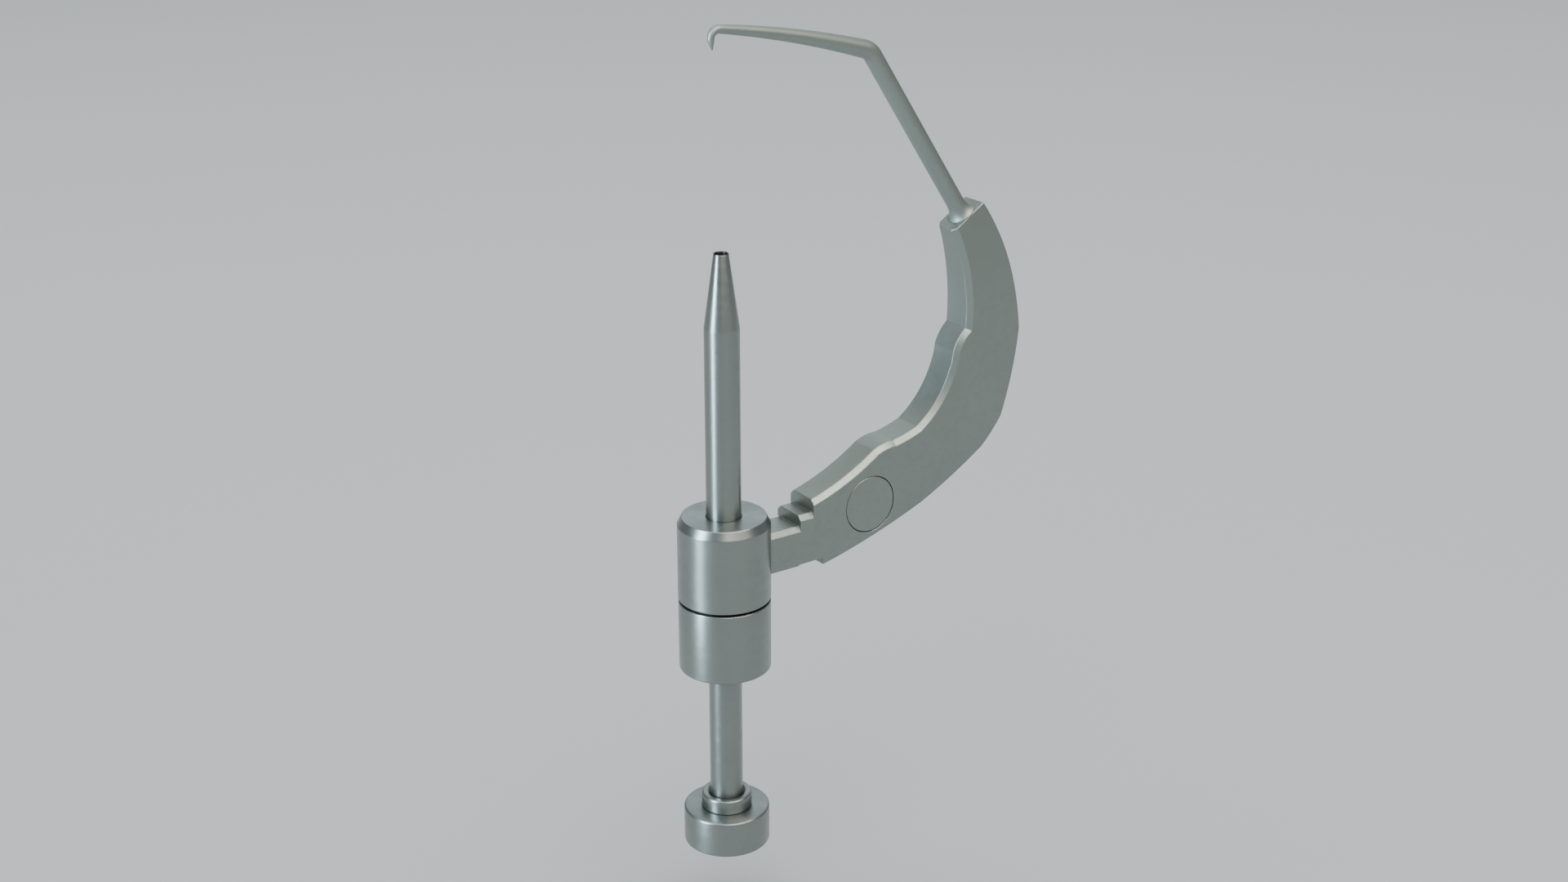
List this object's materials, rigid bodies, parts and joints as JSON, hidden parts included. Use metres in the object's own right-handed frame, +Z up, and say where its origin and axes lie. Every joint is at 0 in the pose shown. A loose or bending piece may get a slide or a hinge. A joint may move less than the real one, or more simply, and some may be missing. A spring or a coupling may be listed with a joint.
{
  "type": "ligament drill guide",
  "caption": "Tibial drill guide with a hooked aimer on a curved finger-grip handle and a sliding wire sleeve clamped by a lock nut.",
  "frame": {"origin": "centre of the knob's lower face", "axes": "+Z up the sleeve towards its tip, +X towards the handle, -Y on the button's side"},
  "size_m": [0.0922, 0.0214, 0.1935],
  "materials": {
    "knob": "satin stainless steel",
    "knob_set_screw": "machined steel",
    "entry_bush": "ground hardened steel",
    "wire_guide": "satin stainless steel",
    "sleeve_collar": "satin stainless steel",
    "collar_snap_ring": "drawn spring wire",
    "outer_sleeve": "satin stainless steel",
    "lock_nut": "satin stainless steel",
    "thrust_washer": "satin stainless steel",
    "lock_collet": "turned hardened steel",
    "nut_retaining_ring": "drawn spring wire",
    "guide_body": "satin stainless steel",
    "guide_bush": "ground hardened steel",
    "sleeve_o_ring": "black nitrile rubber",
    "o_ring_retainer": "satin stainless steel",
    "arm_plate": "satin stainless steel",
    "rod_set_screw": "machined steel",
    "release_button": "satin stainless steel",
    "button_spring": "drawn spring wire",
    "latch_lever": "satin stainless steel",
    "latch_pivot_pin": "machined steel",
    "latch_cover": "satin stainless steel",
    "cover_screws": "machined steel",
    "aimer_rod": "satin stainless steel"
  },
  "bodies": {
    "handle": {"arm_plate": "arm_plate", "aimer_rod": "aimer_rod", "rod_set_screw": "rod_set_screw", "latch_cover": "latch_cover", "cover_screws": "cover_screws", "latch_pivot_pin": "latch_pivot_pin", "guide_body": "guide_body", "guide_bush": "guide_bush", "sleeve_o_ring": "sleeve_o_ring", "o_ring_retainer": "o_ring_retainer", "lock_collet": "lock_collet", "nut_retaining_ring": "nut_retaining_ring", "button_spring": "button_spring"},
    "nut_washer": {"thrust_washer": "thrust_washer"},
    "lock_nut": {"lock_nut": "lock_nut"},
    "sleeve": {"outer_sleeve": "outer_sleeve", "sleeve_collar": "sleeve_collar", "collar_snap_ring": "collar_snap_ring"},
    "knob": {"knob": "knob", "knob_set_screw": "knob_set_screw", "entry_bush": "entry_bush", "wire_guide": "wire_guide"},
    "button": {"release_button": "release_button"},
    "latch": {"latch_lever": "latch_lever"}
  },
  "joints": [
    {"name": "sleeve_slide", "type": "slide", "parent": "handle", "child": "sleeve", "axis": [0, 0, 1], "range_m": [-0.0135, 0.0325]},
    {"name": "knob_turn", "type": "hinge", "parent": "sleeve", "child": "knob", "pos_m": [0, 0, 0], "axis": [0, 0, 1], "continuous": true},
    {"name": "nut_travel", "type": "slide", "parent": "handle", "child": "nut_washer", "axis": [0, 0, -1], "range_m": [0, 0.000333]},
    {"name": "nut_turn", "type": "hinge", "parent": "nut_washer", "child": "lock_nut", "pos_m": [0, 0, 0], "axis": [0, 0, -1], "range_deg": [0, 121]},
    {"name": "button_press", "type": "slide", "parent": "handle", "child": "button", "axis": [0, 1, 0], "range_m": [0, 0.0012], "stiffness_N_per_m": 2500, "springref_m": -0.0006, "deforming": ["button_spring"]},
    {"name": "latch_turn", "type": "hinge", "parent": "handle", "child": "latch", "pos_m": [0.024, 0.0007, 0.072], "axis": [0, 0, 1], "range_deg": [0, 5.1]}
  ],
  "couplings": [
    {"joint": "nut_turn", "follows": "nut_travel", "rad_per_m": 6283.2},
    {"joint": "latch_turn", "follows": "button_press", "rad_per_m": 72.464}
  ]
}
